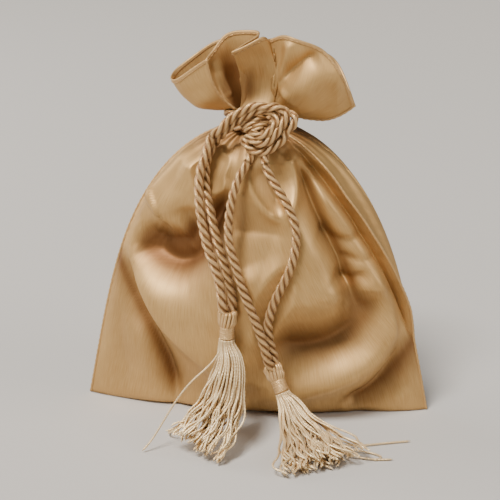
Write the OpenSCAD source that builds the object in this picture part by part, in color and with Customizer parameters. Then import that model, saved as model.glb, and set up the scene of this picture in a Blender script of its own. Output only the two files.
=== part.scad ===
// Satin gift sack with a tied neck, a frilled mouth and two tasselled drawstrings.
// Millimetres, +Z up, front towards -Y, origin on the table under the middle of the sack.

/* [Sack] */
// Half the width of the filled sack at its base
base_half_w = 78.5; // [70:0.5:85]
// How much the half width narrows for each millimetre of height
side_taper = 0.2; // [0.1:0.01:0.24]
// Half the depth of the filled sack at its fullest
belly_half_d = 31.5; // [26:0.5:34]
// Height where the shoulders meet the neck
neck_z = 131.5; // [125:0.5:135]
// Radius of the gathered neck
neck_r = 10.8; // [10:0.1:11.5]
// Modelled thickness of the cloth with its inside seam allowance
cloth_t = 1.6; // [1.2:0.1:2]
// Half the thickness of the sewn seams
seam_half_t = 1.2; // [0.8:0.1:1.6]

/* [Frill] */
// Height of the frill's lowest ring above the neck
frill_gap = 11.5; // [11:0.5:13]
// Radius of the frill where it leaves the neck
frill_foot_r = 6; // [5.5:0.1:6.5]
// Half the width of the open mouth
mouth_half_w = 40; // [34:1:44]
// Half the depth of the open mouth
mouth_half_d = 17; // [14:0.5:19]
// Height of the mouth in the middle
mouth_z = 172; // [165:1:176]
// Height of the mouth's left corner
mouth_left_z = 152; // [148:1:156]
// Height of the mouth's right corner
mouth_right_z = 145.5; // [144.5:0.5:152]
// Number of pleats round the mouth
pleats = 9; // [5:2:13]

/* [Cords] */
// Diameter of the twisted cord
cord_d = 4.3; // [4:0.1:4.5]
// Ring radius of the knot
knot_ring_r = 7.4; // [7:0.1:8]
// Thickness radius of the knot's wound ring
knot_tube_r = 3.5; // [3.2:0.1:3.8]

/* [Tassels] */
// Radius of the tassel's looped head
head_r = 3.9; // [3.5:0.1:4.1]
// Radius of the thread binding
binding_r = 3.3; // [3:0.1:3.5]
// Height of the thread binding
binding_h = 5.2; // [5:0.1:5.6]

/* [Hidden] */

satin = "#c49a62";
satin_dark = "#a67c45";
rope = "#bb8f55";
floss = "#e9d6b4";

wall_steps = 22;
floor_steps = 2;
corner_blunt = 0.8;
side_steps = 22;
frill_steps = 8;
frill_sides = 36;
hem_start = 0.93;
hem_gap = 0.006;
seam_flange = 0.9;
casing_t = 2.6;
casing_h = 8.8;
frill_foot_z = neck_z + frill_gap;
mouth_mid_x = 2.5;
cord_r = cord_d / 2;
loop_r = neck_r + cord_r + 0.05;
knot_at = [7.5, -21.5, 136.2];
knot_tilt = 12;

// Where each cord runs, from the knot to just above its tassel
left_outer_route = [[-16.2, -20.8, 133], [-18.9, -22.6, 125.8], [-20.8, -24.7, 120],
    [-21.6, -26.6, 114.1], [-21.5, -28.4, 109.1], [-20.9, -30, 103.2], [-19.2, -32.2, 94.7],
    [-16.5, -34.2, 85.2], [-13.5, -35.6, 77.4], [-11.2, -36.8, 68.5], [-10.1, -37.3, 60]];
left_inner_route = [[-15.6, -17.5, 129.2], [-17.6, -17.9, 125.8], [-19.3, -19.9, 120.5],
    [-19.5, -21.9, 115.1], [-18.9, -24.5, 109.5], [-17.4, -27.2, 104.4], [-15.7, -29.5, 98.3],
    [-13, -32.3, 88.9], [-9.9, -33.8, 79.1], [-7.9, -34, 70.8], [-6.8, -34.1, 60]];
right_inner_route = [[-0.6, -25.6, 123.6], [-2.4, -27, 120.3], [-4.2, -28.4, 117],
    [-5.6, -29.6, 113], [-6.9, -31, 108.1], [-7.9, -32.2, 101.4], [-8.2, -33.4, 94.5],
    [-7.2, -34.6, 87], [-4.7, -35.6, 78.9], [-1.7, -36, 68.8], [1.8, -36, 59.5],
    [4.9, -35.6, 51], [7.2, -35, 43.5], [9.6, -33.9, 34]];
right_outer_route = [[6.4, -25.6, 122.8], [7.7, -26.7, 119.6], [10.3, -27.8, 115.2],
    [13.6, -28.8, 110.4], [17.2, -30, 104.4], [20, -31.3, 97.3], [20.4, -32.6, 88.5],
    [18.2, -33.6, 78.3], [14.2, -33.6, 69], [10.8, -32.9, 60.5], [9, -31.8, 52.8],
    [9, -30.9, 45.5], [10.4, -30, 38.6], [11.4, -29.8, 34]];

// Tassels: where the head hangs, which way it points, and where its strands run
left_head_at = [-8.5, -35.5, 55.5];
left_head_to = [-8.7, -36, 46];
left_skirt_rest = [[-7.2, -38.2, 38], [-7.2, -42.2, 30], [-9.6, -48, 19.5], [-14.2, -55.5, 10.5],
    [-19.4, -63, 4.8]];
right_head_at = [11.6, -31.2, 28.9];
right_head_to = [15.6, -34.4, 20.9];
right_skirt_rest = [[18.8, -37.2, 16.4], [22.8, -42.8, 11], [27.4, -50, 7.6], [32.5, -59, 5.6],
    [37.5, -68, 4.2]];
// Half width and half thickness of the strands at each point of a route
left_skirt_sizes = [[3.2, 3.2], [3.3, 3.3], [5.6, 4.6], [7.8, 5.4], [10.2, 5.6], [12.4, 4.8],
    [14, 3.6]];
right_skirt_sizes = [[3.2, 3.2], [3.3, 3.3], [5, 4.2], [8.2, 5], [12.4, 4.8], [17.5, 4.2],
    [21.5, 3.2]];
head_cone_h = 4;
skirt_gap = 0.1;
skirt_collar = 1.4;

function unit(v) = v / norm(v);
function tangent(p, i) = unit(p[min(i + 1, len(p) - 1)] - p[max(i - 1, 0)]);

// One ring of points across a route, with its own half width and half thickness
function ring(c, t, ref, size, n) = let (u = unit(cross(t, ref)), w = cross(t, u))
    [for (k = [0:n - 1]) c + size[1] * cos(360 * k / n) * u + size[0] * sin(360 * k / n) * w];

function flat(rows) = [for (r = rows) for (p = r) p];

// Closed tube along a route
module sweep(route, sizes, ref, sides) {
    last = len(route) - 1;
    rings = [for (i = [0:last]) ring(route[i], tangent(route, i), ref, sizes[i], sides)];
    walls = [for (i = [0:last - 1]) for (k = [0:sides - 1]) let (m = (k + 1) % sides)
        [i * sides + k, i * sides + m, (i + 1) * sides + m, (i + 1) * sides + k]];
    start = [for (k = [0:sides - 1]) sides - 1 - k];
    end = [for (k = [0:sides - 1]) last * sides + k];
    polyhedron(points = flat(rings), faces = concat(walls, [start, end]));
}

// Closed shell between an outer and an inner grid of points with the same rows and columns
module shell(outer, inner) {
    rows = len(outer);
    cols = len(outer[0]);
    n = rows * cols;
    outside = [for (i = [0:rows - 2]) for (j = [0:cols - 2])
        [i * cols + j, (i + 1) * cols + j, (i + 1) * cols + j + 1, i * cols + j + 1]];
    inside = [for (i = [0:rows - 2]) for (j = [0:cols - 2])
        [n + i * cols + j, n + i * cols + j + 1, n + (i + 1) * cols + j + 1, n + (i + 1) * cols + j]];
    foot = [for (j = [0:cols - 2]) [j, j + 1, n + j + 1, n + j]];
    top = let (a = (rows - 1) * cols) [for (j = [0:cols - 2])
        [a + j + 1, a + j, n + a + j, n + a + j + 1]];
    left = [for (i = [0:rows - 2]) let (a = i * cols) [a + cols, a, n + a, n + a + cols]];
    right = [for (i = [0:rows - 2]) let (a = i * cols + cols - 1) [a, a + cols, n + a + cols, n + a]];
    polyhedron(points = concat(flat(outer), flat(inner)),
        faces = concat(outside, inside, foot, top, left, right));
}

// Half width and half depth of the filled sack at a height
function half_w(z) = neck_r + (base_half_w - neck_r - side_taper * z)
    * pow(max(0, 1 - pow(z / neck_z, 4.6)), 0.62);
function belly(z) = 0.13 + 0.87 * sin(90 * min(1, z / 70));
function half_d(z) = neck_r + (belly_half_d - neck_r) * belly(z)
    * pow(max(0, 1 - pow(z / neck_z, 4)), 0.7);
// How full the sack is across its width, 1 in the middle and 0 at the side seams
function fullness(s) = pow(max(0, 1 - pow(abs(s), 2.2)), 0.8);
// Height of each row, closer together near the neck
function row_z(j) = neck_z * (1 - pow(1 - j / wall_steps, 1.6));

// The base corners are a little blunt
function blunt(z) = corner_blunt * max(0, 1 - z / 6);
function wall_point(s, z, inset) = [s * (half_w(z) - inset),
    -seam_half_t - blunt(z) - (half_d(z) - inset - seam_half_t) * fullness(s), z];
function floor_point(s, k, inset) = let (rim = wall_point(s, inset, inset))
    [rim[0], -seam_half_t + (rim[1] + seam_half_t) * k / floor_steps, inset];
function panel_grid(inset) = let (across = [for (j = [0:side_steps]) -1 + 2 * j / side_steps])
    concat([for (k = [0:floor_steps - 1]) [for (s = across) floor_point(s, k, inset)]],
        [for (j = [0:wall_steps]) [for (s = across) wall_point(s, max(inset, row_z(j)), inset)]]);

module panel() {
    shell(panel_grid(0), panel_grid(cloth_t));
}

module side_seam() {
    inner_edge = [for (j = [wall_steps:-1:1]) [half_w(row_z(j)) - cloth_t - 0.4, row_z(j)]];
    outer_edge = [for (j = [1:wall_steps]) [half_w(row_z(j)) + seam_flange * (1 - j / wall_steps),
        row_z(j)]];
    rotate([90, 0, 0]) translate([0, 0, -seam_half_t]) linear_extrude(2 * seam_half_t)
        polygon(concat([[half_w(0) + seam_flange, cloth_t]], outer_edge, inner_edge,
            [[half_w(0) - cloth_t - 0.4, cloth_t]]));
}

// A point of the frill at angle a round the neck and v of the way up to the mouth
function mouth_r(a, v) = 1 + 0.07 * v * sin(pleats * a);
function corner_z(a) = cos(a) < 0 ? mouth_left_z : mouth_right_z;
function top_z(a) = corner_z(a) + (mouth_z - corner_z(a)) * pow(abs(sin(a)), 0.8);
function frill_point(a, v, inset) = let (f = pow(v, 0.85), inward = 0.7 * inset)
    [mouth_mid_x * v + (frill_foot_r + (mouth_half_w * mouth_r(a, v) - frill_foot_r) * f - inward)
        * cos(a),
     (frill_foot_r + (mouth_half_d * mouth_r(a, v) - frill_foot_r) * f - inward) * sin(a),
     frill_foot_z + (top_z(a) - frill_foot_z) * v + inward];
function frill_grid(v0, v1, steps, inset) = [for (i = [0:steps])
    [for (j = [0:frill_sides]) frill_point(180 + 180 * j / frill_sides,
        v0 + (v1 - v0) * i / steps, inset)]];

function hem_grid(inset) = frill_grid(hem_start + hem_gap, 1, 1, inset);

// The front half, from the left corner of the mouth to the right one
module frill_half() {
    shell(frill_grid(0, hem_start, frill_steps, 0), frill_grid(0, hem_start, frill_steps, 1.5));
}

module hem_half() {
    shell(hem_grid(-0.3), hem_grid(1.8));
}

module front_panel() { color(satin) panel(); }
module back_panel() { color(satin) mirror([0, 1, 0]) panel(); }
module left_side_seam() { color(satin_dark) mirror([1, 0, 0]) side_seam(); }
module right_side_seam() { color(satin_dark) side_seam(); }

module bottom_seam() {
    half = half_w(0) - cloth_t - 0.4;
    color(satin_dark) translate([-half, -seam_half_t, 0]) cube([2 * half, 2 * seam_half_t, cloth_t]);
}

module drawstring_casing() {
    color(satin) translate([0, 0, neck_z]) difference() {
        cylinder(h = casing_h, r = neck_r, $fn = 64);
        translate([0, 0, -1]) cylinder(h = casing_h + 2, r = neck_r - casing_t, $fn = 64);
    }
}

module neck_loop(z) {
    color(rope) translate([0, 0, z]) rotate_extrude($fn = 64) translate([loop_r, 0])
        circle(cord_r - 0.05, $fn = 20);
}
module lower_neck_loop() { neck_loop(neck_z + cord_r + 0.4); }
module upper_neck_loop() { neck_loop(neck_z + 3 * cord_r + 0.4); }

module cord_knot() {
    color(rope) translate(knot_at) rotate([90 - knot_tilt, 0, 0]) {
        rotate_extrude($fn = 64) translate([knot_ring_r, 0]) circle(knot_tube_r, $fn = 24);
        translate([0, 0, -6.2]) cylinder(h = 8.6, r = knot_ring_r - 3, $fn = 48);
    }
}

module front_frill() { color(satin) frill_half(); }
module back_frill() {
    color(satin) shell([for (r = frill_grid(0, hem_start, frill_steps, 0)) flip(r)],
        [for (r = frill_grid(0, hem_start, frill_steps, 1.5)) flip(r)]);
}
module front_mouth_hem() { color(satin_dark) hem_half(); }
module back_mouth_hem() {
    color(satin_dark) shell([for (r = hem_grid(-0.3)) flip(r)], [for (r = hem_grid(1.8)) flip(r)]);
}

// A front row mirrored to the back, read from right to left
function flip(r) = [for (j = [len(r) - 1:-1:0]) [r[j][0], -r[j][1], r[j][2]]];

module cord(route) {
    color(rope) sweep(route, [for (p = route) [cord_r, cord_r]], [0, 1, 0], 10);
}
module left_cord_outer() { cord(left_outer_route); }
module left_cord_inner() { cord(left_inner_route); }
module right_cord_inner() { cord(right_inner_route); }
module right_cord_outer() { cord(right_outer_route); }

// Puts a shape made along +Z at a point, aimed at a second point
module aimed(at, to) {
    d = unit(to - at);
    translate(at) rotate([0, acos(d[2]), atan2(d[1], d[0])]) children();
}

module tassel_head(at, to) {
    color(rope) aimed(at, to) {
        sphere(r = head_r, $fn = 40);
        cylinder(h = head_cone_h, r1 = head_r, r2 = binding_r - 0.2, $fn = 40);
    }
}
module tassel_binding(at, to) {
    color(satin_dark) aimed(at, to) translate([0, 0, head_cone_h])
        cylinder(h = binding_h, r = binding_r, $fn = 40);
}
// The strands leave the binding square to it, then follow the rest of their route
module tassel_skirt(at, to, rest, sizes) {
    foot = at + (head_cone_h + binding_h + skirt_gap) * unit(to - at);
    color(floss) sweep(concat([foot, foot + skirt_collar * unit(to - at)], rest), sizes,
        [1, 0, 0], 16);
}
module left_tassel_head() { tassel_head(left_head_at, left_head_to); }
module left_tassel_binding() { tassel_binding(left_head_at, left_head_to); }
module left_tassel_skirt() {
    tassel_skirt(left_head_at, left_head_to, left_skirt_rest, left_skirt_sizes);
}
module right_tassel_head() { tassel_head(right_head_at, right_head_to); }
module right_tassel_binding() { tassel_binding(right_head_at, right_head_to); }
module right_tassel_skirt() {
    tassel_skirt(right_head_at, right_head_to, right_skirt_rest, right_skirt_sizes);
}

front_panel();
back_panel();
left_side_seam();
right_side_seam();
bottom_seam();
drawstring_casing();
lower_neck_loop();
upper_neck_loop();
cord_knot();
front_frill();
back_frill();
front_mouth_hem();
back_mouth_hem();
left_cord_outer();
left_cord_inner();
right_cord_inner();
right_cord_outer();
left_tassel_head();
left_tassel_binding();
left_tassel_skirt();
right_tassel_head();
right_tassel_binding();
right_tassel_skirt();
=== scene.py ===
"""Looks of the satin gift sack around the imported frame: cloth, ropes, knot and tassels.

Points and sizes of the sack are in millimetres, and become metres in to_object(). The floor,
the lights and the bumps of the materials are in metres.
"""

import math

import bpy
import numpy as np
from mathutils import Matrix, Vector, noise


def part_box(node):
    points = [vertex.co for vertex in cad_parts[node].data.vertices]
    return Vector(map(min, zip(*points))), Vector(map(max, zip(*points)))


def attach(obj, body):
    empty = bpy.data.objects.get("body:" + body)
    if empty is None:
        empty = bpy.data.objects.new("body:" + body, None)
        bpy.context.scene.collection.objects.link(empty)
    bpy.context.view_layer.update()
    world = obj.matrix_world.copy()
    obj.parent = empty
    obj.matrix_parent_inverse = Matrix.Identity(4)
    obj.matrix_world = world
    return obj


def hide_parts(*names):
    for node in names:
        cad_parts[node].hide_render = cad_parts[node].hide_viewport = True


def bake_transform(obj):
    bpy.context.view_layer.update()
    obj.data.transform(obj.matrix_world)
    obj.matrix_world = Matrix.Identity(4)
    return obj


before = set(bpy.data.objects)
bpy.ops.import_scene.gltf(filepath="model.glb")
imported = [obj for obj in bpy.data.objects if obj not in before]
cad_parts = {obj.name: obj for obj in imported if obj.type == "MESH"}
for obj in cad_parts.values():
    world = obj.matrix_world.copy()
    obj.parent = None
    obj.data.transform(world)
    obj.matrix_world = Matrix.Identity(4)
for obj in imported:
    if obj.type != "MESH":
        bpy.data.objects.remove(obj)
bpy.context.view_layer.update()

MM = 0.001
TAU = 2 * math.pi
UP = np.array([0.0, 0.0, 1.0])

# ---------------------------------------------------------------- camera

CAMERA_AZIMUTH = 7
CAMERA_ELEVATION = 20
CAMERA_DISTANCE = 680
CAMERA_TARGET = np.array([-3.2, 1.3, 73.7])
CAMERA_LENS = 108.8


def make_camera():
    a, e = math.radians(CAMERA_AZIMUTH), math.radians(CAMERA_ELEVATION)
    back = np.array([math.sin(a) * math.cos(e), -math.cos(a) * math.cos(e), math.sin(e)])
    data = bpy.data.cameras.new("camera")
    data.lens = CAMERA_LENS
    data.sensor_width = 36
    data.clip_start = 0.01
    camera = bpy.data.objects.new("camera", data)
    bpy.context.scene.collection.objects.link(camera)
    camera.location = (CAMERA_TARGET + back * CAMERA_DISTANCE) * MM
    camera.rotation_euler = Vector(-back).to_track_quat("-Z", "Y").to_euler()
    bpy.context.scene.camera = camera


make_camera()

# ---------------------------------------------------------------- routes, as in the CAD

CORD_D = 4.3
LEFT_OUTER = [(-16.2, -20.8, 133), (-18.9, -22.6, 125.8), (-20.8, -24.7, 120),
              (-21.6, -26.6, 114.1), (-21.5, -28.4, 109.1), (-20.9, -30, 103.2), (-19.2, -32.2, 94.7),
              (-16.5, -34.2, 85.2), (-13.5, -35.6, 77.4), (-11.2, -36.8, 68.5), (-10.1, -37.3, 60)]
LEFT_INNER = [(-15.6, -17.5, 129.2), (-17.6, -17.9, 125.8), (-19.3, -19.9, 120.5),
              (-19.5, -21.9, 115.1), (-18.9, -24.5, 109.5), (-17.4, -27.2, 104.4), (-15.7, -29.5, 98.3),
              (-13, -32.3, 88.9), (-9.9, -33.8, 79.1), (-7.9, -34, 70.8), (-6.8, -34.1, 60)]
RIGHT_INNER = [(-0.6, -25.6, 123.6), (-2.4, -27, 120.3), (-4.2, -28.4, 117), (-5.6, -29.6, 113),
               (-6.9, -31, 108.1), (-7.9, -32.2, 101.4), (-8.2, -33.4, 94.5), (-7.2, -34.6, 87),
               (-4.7, -35.6, 78.9), (-1.7, -36, 68.8), (1.8, -36, 59.5), (4.9, -35.6, 51),
               (7.2, -35, 43.5), (9.6, -33.9, 34)]
RIGHT_OUTER = [(6.4, -25.6, 122.8), (7.7, -26.7, 119.6), (10.3, -27.8, 115.2), (13.6, -28.8, 110.4),
               (17.2, -30, 104.4), (20, -31.3, 97.3), (20.4, -32.6, 88.5), (18.2, -33.6, 78.3),
               (14.2, -33.6, 69), (10.8, -32.9, 60.5), (9, -31.8, 52.8), (9, -30.9, 45.5),
               (10.4, -30, 38.6), (11.4, -29.8, 34)]
LEFT_HEAD = ((-8.5, -35.5, 55.5), (-8.7, -36, 46))
RIGHT_HEAD = ((11.6, -31.2, 28.9), (15.6, -34.4, 20.9))
LEFT_SKIRT = [(-8.7, -36, 46), (-8.74, -36.1, 44.2), (-7.2, -38.2, 38), (-7.2, -42.2, 30),
              (-9.6, -48, 19.5), (-14.2, -55.5, 10.5), (-19.4, -63, 4.8)]
LEFT_SIZES = [(3.1, 3.1), (3.3, 3.3), (5.6, 4.6), (7.8, 5.4), (10.2, 5.6), (12.4, 4.8), (14, 3.6)]
RIGHT_SKIRT = [(15.6, -34.4, 20.9), (16.4, -35, 19.4), (18.8, -37.2, 16.4), (22.8, -42.8, 11),
               (27.4, -50, 7.6), (32.5, -59, 5.6), (37.5, -68, 4.2)]
RIGHT_SIZES = [(3.1, 3.1), (3.3, 3.3), (5, 4.2), (8.2, 5), (12.4, 4.8), (17.5, 4.2), (21.5, 3.2)]

# ---------------------------------------------------------------- materials


class Nodes:
    """A material's node tree with short ways to add to it."""

    def __init__(self, name, base, roughness, metallic=0.0, sheen=0.0, anisotropic=0.0):
        self.material = bpy.data.materials.new(name)
        self.material.use_nodes = True
        self.tree = self.material.node_tree
        self.shader = self.tree.nodes["Principled BSDF"]
        self.set("Base Color", (*base, 1))
        self.set("Roughness", roughness)
        self.set("Metallic", metallic)
        self.set("Sheen Weight", sheen)
        self.set("Anisotropic", anisotropic)

    def set(self, socket, value):
        self.shader.inputs[socket].default_value = value

    def add(self, kind, **settings):
        node = self.tree.nodes.new(kind)
        for key, value in settings.items():
            setattr(node, key, value)
        return node

    def link(self, a, out, b, into):
        self.tree.links.new(a.outputs[out], b.inputs[into])

    def attribute(self, name, scale):
        """A point attribute of the mesh, times a scale for each axis."""
        source = self.add("ShaderNodeAttribute", attribute_name=name)
        mapping = self.add("ShaderNodeMapping")
        mapping.inputs["Scale"].default_value = scale
        self.link(source, "Vector", mapping, "Vector")
        return mapping

    def noise(self, vector, detail, rough):
        node = self.add("ShaderNodeTexNoise")
        node.inputs["Scale"].default_value = 1
        node.inputs["Detail"].default_value = detail
        node.inputs["Roughness"].default_value = rough
        self.link(vector, "Vector", node, "Vector")
        return node

    def wave(self, vector, scale, direction, distortion):
        node = self.add("ShaderNodeTexWave", bands_direction=direction)
        node.inputs["Scale"].default_value = scale
        node.inputs["Distortion"].default_value = distortion
        node.inputs["Detail"].default_value = 1
        self.link(vector, "Vector", node, "Vector")
        return node

    def ramp(self, source, out, stops):
        node = self.add("ShaderNodeValToRGB")
        elements = node.color_ramp.elements
        while len(elements) < len(stops):
            elements.new(0.5)
        for element, (at, colour) in zip(elements, stops):
            element.position = at
            element.color = (*colour, 1)
        self.link(source, out, node, "Fac")
        return node

    def range(self, source, out, low, high):
        node = self.add("ShaderNodeMapRange")
        node.inputs["To Min"].default_value = low
        node.inputs["To Max"].default_value = high
        self.link(source, out, node, "Value")
        return node

    def multiply(self, a, b):
        node = self.add("ShaderNodeMix", data_type="RGBA", blend_type="MULTIPLY")
        node.inputs["Factor"].default_value = 1
        self.tree.links.new(a, node.inputs["A"])
        self.tree.links.new(b, node.inputs["B"])
        return node.outputs["Result"]

    def bump(self, source, out, strength, distance, under=None):
        node = self.add("ShaderNodeBump")
        node.inputs["Strength"].default_value = strength
        node.inputs["Distance"].default_value = distance
        self.link(source, out, node, "Height")
        if under is not None:
            self.link(under, "Normal", node, "Normal")
        return node


WHITE = (1, 1, 1)
# Painted shade: the colour that the cloth is darkened towards deep in its folds
PAINTED_SHADE_TINT = (0.36, 0.24, 0.15)
# Painted shade: the colour that a rope is darkened towards deep between its strands
STRAND_GAP_SHADE_TINT = (0.38, 0.27, 0.17)


def satin(name, deep, light, streak=0.5):
    """Slubbed satin: warp streaks along the cloth, a fine weave, a soft gloss and painted shade in its
    folds.
    """
    n = Nodes(name, light, 0.5, metallic=0.64, anisotropic=0.2)
    n.set("Coat Weight", 0.2)
    n.set("Coat Roughness", 0.5)
    slub = n.noise(n.attribute("cloth", (2.6, 0.11, 1)), 4, 0.6)
    patch = n.noise(n.attribute("cloth", (0.03, 0.03, 1)), 3, 0.5)
    colour = n.ramp(slub, "Fac", [(0.3, deep), (0.7, light)])
    tone = n.ramp(patch, "Fac", [(0.35, (0.86, 0.83, 0.8)), (0.65, WHITE)])
    whole = n.multiply(colour.outputs["Color"], tone.outputs["Color"])
    # Painted shade: darker in the folds, under the tie and inside the mouth, from the third value of
    # the cloth attribute
    split = n.add("ShaderNodeSeparateXYZ")
    n.link(n.attribute("cloth", (1, 1, 1)), "Vector", split, "Vector")
    fold_shade = n.ramp(split, "Z", [(0.0, WHITE), (1.0, PAINTED_SHADE_TINT)])
    n.tree.links.new(n.multiply(whole, fold_shade.outputs["Color"]), n.shader.inputs["Base Color"])
    rough = n.range(slub, "Fac", 0.48, 0.57)
    n.link(rough, "Result", n.shader, "Roughness")
    warp = n.wave(n.attribute("cloth", (1, 0, 1)), 0.55, "X", 0.6)
    weft = n.wave(n.attribute("cloth", (0, 1, 1)), 0.4, "Y", 0.6)
    under = n.bump(warp, "Fac", 0.12, 0.00006)
    over = n.bump(weft, "Fac", 0.08, 0.00005, under)
    top = n.bump(slub, "Fac", streak * 0.3, 0.0002, over)
    n.link(top, "Normal", n.shader, "Normal")
    return n.material


def yarn(name, deep, light, roughness, threads):
    """Lustrous yarn whose fine threads run along it, with painted shade deep between its strands."""
    n = Nodes(name, light, roughness, metallic=0.45, sheen=0.2)
    n.set("Sheen Roughness", 0.3)
    along = n.noise(n.attribute("yarn", (threads, 0.12, 1)), 3, 0.6)
    patch = n.noise(n.attribute("yarn", (0.3, 0.25, 1)), 2, 0.5)
    colour = n.ramp(along, "Fac", [(0.32, deep), (0.66, light)])
    tone = n.ramp(patch, "Fac", [(0.3, (0.88, 0.85, 0.8)), (0.7, WHITE)])
    whole = n.multiply(colour.outputs["Color"], tone.outputs["Color"])
    # Painted shade between the strands, from the third value of the yarn attribute
    split = n.add("ShaderNodeSeparateXYZ")
    n.link(n.attribute("yarn", (1, 1, 1)), "Vector", split, "Vector")
    groove = n.ramp(split, "Z", [(0.02, WHITE), (0.3, STRAND_GAP_SHADE_TINT)])
    n.tree.links.new(n.multiply(whole, groove.outputs["Color"]), n.shader.inputs["Base Color"])
    bump = n.bump(along, "Fac", 0.6, 0.0003)
    n.link(bump, "Normal", n.shader, "Normal")
    return n.material


SATIN = satin("satin", (0.57, 0.335, 0.115), (0.69, 0.455, 0.185))
# A slightly lighter satin for the hems and the side seam welts; on the welts its lighter colour is a
# painted highlight along the ridge
HEM = satin("satin_hem", (0.56, 0.34, 0.135), (0.7, 0.46, 0.2), 0.8)
ROPE = yarn("rope_yarn", (0.42, 0.22, 0.07), (0.9, 0.63, 0.32), 0.34, 6.0)
FLOSS = yarn("tassel_floss", (0.68, 0.42, 0.17), (1.0, 0.86, 0.57), 0.36, 5.0)
BINDING = yarn("binding_thread", (0.5, 0.27, 0.09), (0.88, 0.63, 0.32), 0.34, 4.0)

# ---------------------------------------------------------------- mesh helpers


def to_object(name, points, faces, material, attribute, values):
    """A mesh object from points in millimetres, smooth shaded, with one point attribute."""
    mesh = bpy.data.meshes.new(name)
    mesh.from_pydata((np.asarray(points, float) * MM).tolist(), [], faces)
    layer = mesh.attributes.new(attribute, "FLOAT_VECTOR", "POINT")
    layer.data.foreach_set("vector", np.asarray(values, np.float32).ravel())
    mesh.materials.append(material)
    mesh.polygons.foreach_set("use_smooth", [True] * len(mesh.polygons))
    mesh.update()
    obj = bpy.data.objects.new(name, mesh)
    bpy.context.scene.collection.objects.link(obj)
    return obj


def apply_modifiers(obj):
    """Applies an object's modifiers to its mesh."""
    graph = bpy.context.evaluated_depsgraph_get()
    mesh = bpy.data.meshes.new_from_object(obj.evaluated_get(graph))
    obj.modifiers.clear()
    obj.data = mesh


def natural_cubic(keys, values, at):
    """Natural cubic spline through values at keys, for each column of values."""
    keys, values = np.asarray(keys, float), np.asarray(values, float)
    n = len(keys)
    h = np.diff(keys)
    system, right = np.eye(n), np.zeros_like(values)
    for i in range(1, n - 1):
        system[i, i - 1:i + 2] = h[i - 1], 2 * (h[i - 1] + h[i]), h[i]
        right[i] = 6 * ((values[i + 1] - values[i]) / h[i] - (values[i] - values[i - 1]) / h[i - 1])
    bend = np.linalg.solve(system, right)
    i = np.clip(np.searchsorted(keys, at, side="right") - 1, 0, n - 2)
    a, b, w = at - keys[i], keys[i + 1] - at, h[i]
    a, b, w = a[:, None], b[:, None], w[:, None]
    return ((bend[i] * b**3 + bend[i + 1] * a**3) / (6 * w)
            + (values[i] / w - bend[i] * w / 6) * b + (values[i + 1] / w - bend[i + 1] * w / 6) * a)


def chord_keys(points):
    """How far along a polyline each of its points lies."""
    points = np.asarray(points, float)
    return np.concatenate([[0], np.cumsum(np.linalg.norm(np.diff(points, axis=0), axis=1))])


def even(points, step):
    """A polyline's points again, step apart along it."""
    keys = chord_keys(points)
    at = np.linspace(0, keys[-1], max(2, int(round(keys[-1] / step)) + 1))
    return np.stack([np.interp(at, keys, points[:, k]) for k in range(3)], axis=1)


def ease(t):
    """From 0 to 1 with a level start and end."""
    t = np.clip(t, 0, 1)
    return t * t * (3 - 2 * t)


def curve_through(points, step):
    """A smooth curve through points, with its own points step apart."""
    keys = chord_keys(points)
    fine = natural_cubic(keys, points, np.linspace(0, keys[-1], 40 * len(points)))
    return even(fine, step)


def frames_along(path):
    """Tangents and two normals that turn as little as possible along a path."""
    tangents = np.gradient(path, axis=0)
    tangents /= np.linalg.norm(tangents, axis=1)[:, None]
    side = np.cross(tangents[0], [0.3, 1, 0.2])
    normals = []
    for t in tangents:
        side = side - t * (side @ t)
        side = side / np.linalg.norm(side)
        normals.append(side)
    normals = np.array(normals)
    return tangents, normals, np.cross(tangents, normals)


class Soup:
    """Collects many tubes into one mesh, with one attribute vector at each point."""

    def __init__(self):
        self.points, self.values, self.faces = [], [], []
        self.count = 0

    def add_rings(self, rings, values):
        """Rings of points, each the same length, skinned into a tube with closed ends."""
        n, sides = rings.shape[:2]
        base = self.count
        self.points.append(rings.reshape(-1, 3))
        self.values.append(values.reshape(-1, 3))
        for i in range(n - 1):
            a, b = base + i * sides, base + (i + 1) * sides
            self.faces += [(a + k, a + (k + 1) % sides, b + (k + 1) % sides, b + k)
                           for k in range(sides)]
        self.faces.append(tuple(base + sides - 1 - k for k in range(sides)))
        self.faces.append(tuple(base + (n - 1) * sides + k for k in range(sides)))
        self.count += n * sides

    def tube(self, path, radius, sides):
        """A round tube along a path; radius is a number or one for each point."""
        _, u, w = frames_along(path)
        radius = np.broadcast_to(np.asarray(radius, float), (len(path),))
        turn = TAU * np.arange(sides) / sides
        c, s = np.cos(turn)[None, :, None], np.sin(turn)[None, :, None]
        rings = path[:, None] + radius[:, None, None] * (c * u[:, None] + s * w[:, None])
        along = chord_keys(path)
        values = np.stack([np.broadcast_to(radius.mean() * turn, (len(path), sides)),
                           np.broadcast_to(along[:, None], (len(path), sides)),
                           np.zeros((len(path), sides))], axis=2)
        self.add_rings(rings, values)

    def object(self, name, material, slot, attribute="yarn"):
        return to_object(name, np.concatenate(self.points), self.faces, material,
                         attribute, np.concatenate(self.values))


# ---------------------------------------------------------------- twisted rope

ROPE_SIDES = 42
ROPE_STEP = 0.5
ROPE_LAY = 13.8
STRAND_OFFSET = 0.49
STRAND_SIZE = 0.52
YARN_RELIEF = 0.022
PRESSED = 0.2  # how much thinner a rope is where others press on it


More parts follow.
